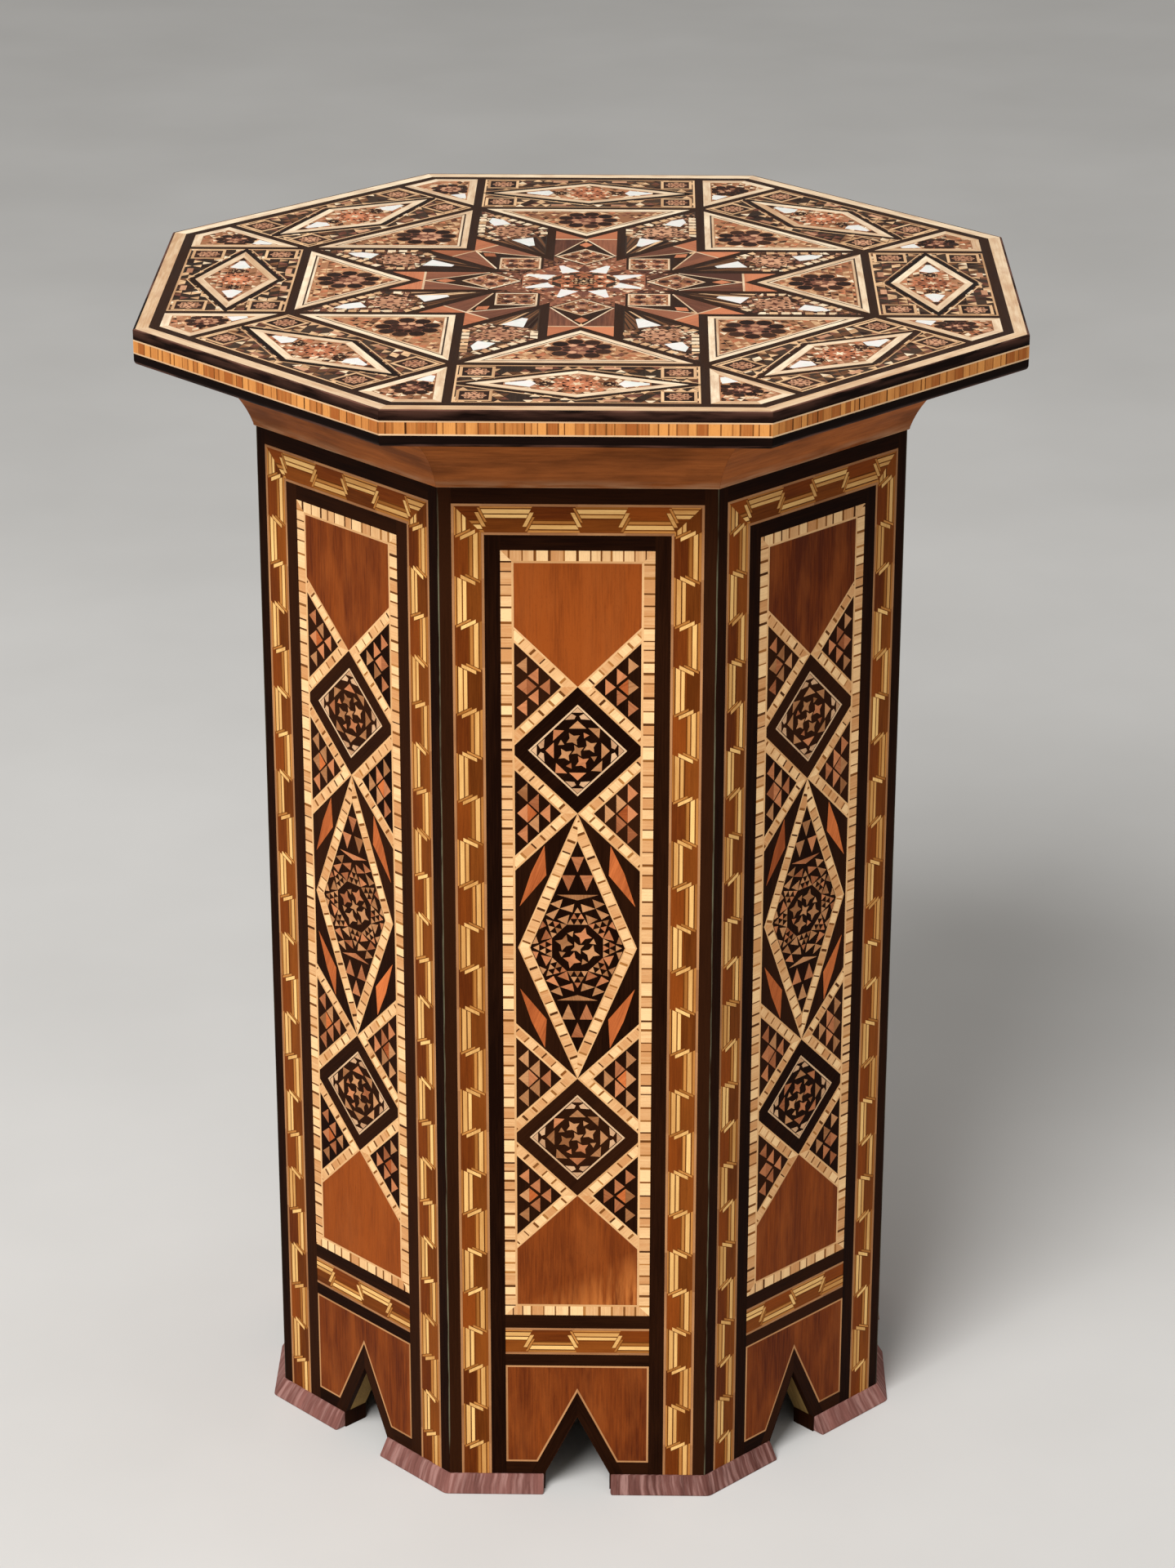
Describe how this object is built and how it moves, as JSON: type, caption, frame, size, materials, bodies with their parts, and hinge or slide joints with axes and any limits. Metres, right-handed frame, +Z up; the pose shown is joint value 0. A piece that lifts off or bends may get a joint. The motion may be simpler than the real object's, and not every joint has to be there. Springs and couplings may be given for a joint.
{
  "type": "octagonal inlaid side table",
  "caption": "Octagonal side table: flat star-marquetry top on a flared cornice and a hollow body of mitred, inlaid side panels with pointed notches between corner feet.",
  "frame": {"origin": "middle of the table on the floor, under the feet", "axes": "+Z up; -Y is the front side, the one square to the picture; +X to the right of it"},
  "size_m": [0.356, 0.356, 0.4981],
  "materials": {
    "core_wood": "bare sawn softwood",
    "cornice_wood": "satin varnished brown hardwood",
    "foot_wood": "worn satin, pinkish brown",
    "black_wood": "satin ebonised",
    "pale_wood": "satin varnished lemonwood",
    "striped_wood": "satin, dark cross lines",
    "chain_wood": "satin, laminated yellow chain on brown",
    "mahogany": "satin varnished mahogany",
    "mosaic": "satin mosaic of small dyed pieces",
    "pearl": "glossy mother of pearl",
    "steel": "plain"
  },
  "bodies": {
    "root": {"corner_blocks": "core_wood", "cornice_1": "cornice_wood", "cornice_2": "cornice_wood", "cornice_3": "cornice_wood", "cornice_4": "cornice_wood", "cornice_5": "cornice_wood", "cornice_6": "cornice_wood", "cornice_7": "cornice_wood", "cornice_8": "cornice_wood", "edge_lower_strips": "black_wood", "edge_stringing": "pale_wood", "edge_striped_bands": "striped_wood", "edge_upper_strips": "black_wood", "foot_1": "foot_wood", "foot_2": "foot_wood", "foot_3": "foot_wood", "foot_4": "foot_wood", "foot_5": "foot_wood", "foot_6": "foot_wood", "foot_7": "foot_wood", "foot_8": "foot_wood", "foot_brads": "steel", "inner_disc": "core_wood", "side_apron_plates": "mahogany", "side_black_fields": "black_wood", "side_black_frames": "black_wood", "side_chain_bands": "chain_wood", "side_lozenge_fields": "mosaic", "side_outer_strips": "black_wood", "side_panel_1": "core_wood", "side_panel_2": "core_wood", "side_panel_3": "core_wood", "side_panel_4": "core_wood", "side_panel_5": "core_wood", "side_panel_6": "core_wood", "side_panel_7": "core_wood", "side_panel_8": "core_wood", "side_plain_plates": "mahogany", "side_square_frames": "black_wood", "side_square_mosaics": "mosaic", "side_stringing": "pale_wood", "side_striped_bands": "striped_wood", "top_arm_fields": "mosaic", "top_board": "core_wood", "top_border_bands": "pale_wood", "top_border_lines": "black_wood", "top_centre_star": "mosaic", "top_lozenge_fields": "mosaic", "top_mosaic_fields": "mosaic", "top_pale_frames": "pale_wood", "top_pearl_pieces": "pearl", "top_plain_plates": "mahogany", "top_screws": "steel", "top_side_grounds": "mosaic", "top_star_lattice": "black_wood"}
  },
  "joints": []
}
